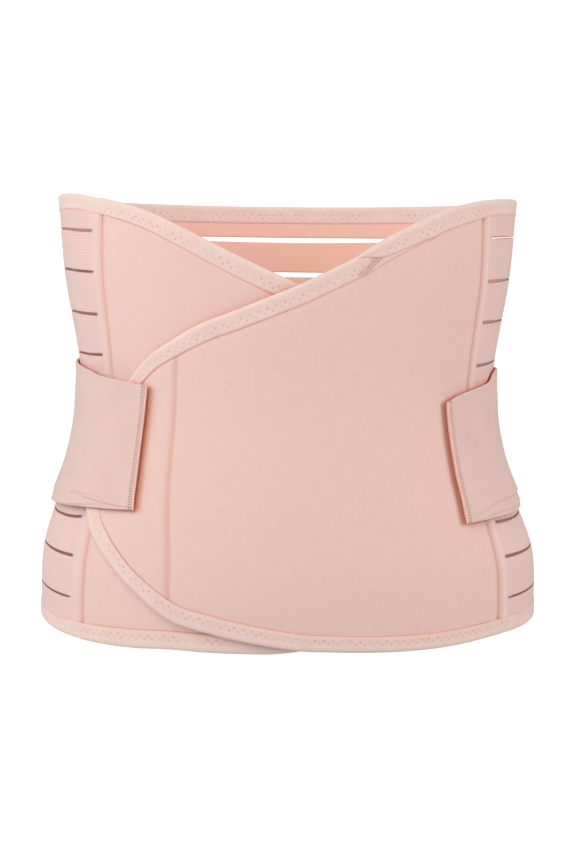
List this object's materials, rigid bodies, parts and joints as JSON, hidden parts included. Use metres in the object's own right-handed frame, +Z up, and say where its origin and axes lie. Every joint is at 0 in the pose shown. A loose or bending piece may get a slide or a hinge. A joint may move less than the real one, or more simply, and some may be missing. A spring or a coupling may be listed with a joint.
{
  "type": "postpartum belly wrap",
  "caption": "Elastic belly wrap in its worn shape: slit back web, crossed padded front panels with bound edges, and a side strap on each hip fastened with hook tape.",
  "frame": {"origin": "centre of the waist, on the axis of the hollow, 160 mm above the level of the hem", "axes": "+Z up along the body, front towards -Y, +X to the side where the over panel is sewn on"},
  "size_m": [0.3143, 0.2124, 0.2616],
  "materials": {
    "elastic_web": "ribbed elastic",
    "loop_panel": "brushed loop cloth",
    "edge_tape": "soft folded tape",
    "elastic_strap": "ribbed elastic",
    "hook_tape": "stiff hook tape"
  },
  "bodies": {
    "root": {"back_web": "elastic_web", "front_panel_under": "loop_panel", "front_panel_over": "loop_panel", "edge_tape": "edge_tape", "strap_left": "elastic_strap", "strap_right": "elastic_strap", "hook_tape_left": "hook_tape", "hook_tape_right": "hook_tape"}
  },
  "joints": []
}
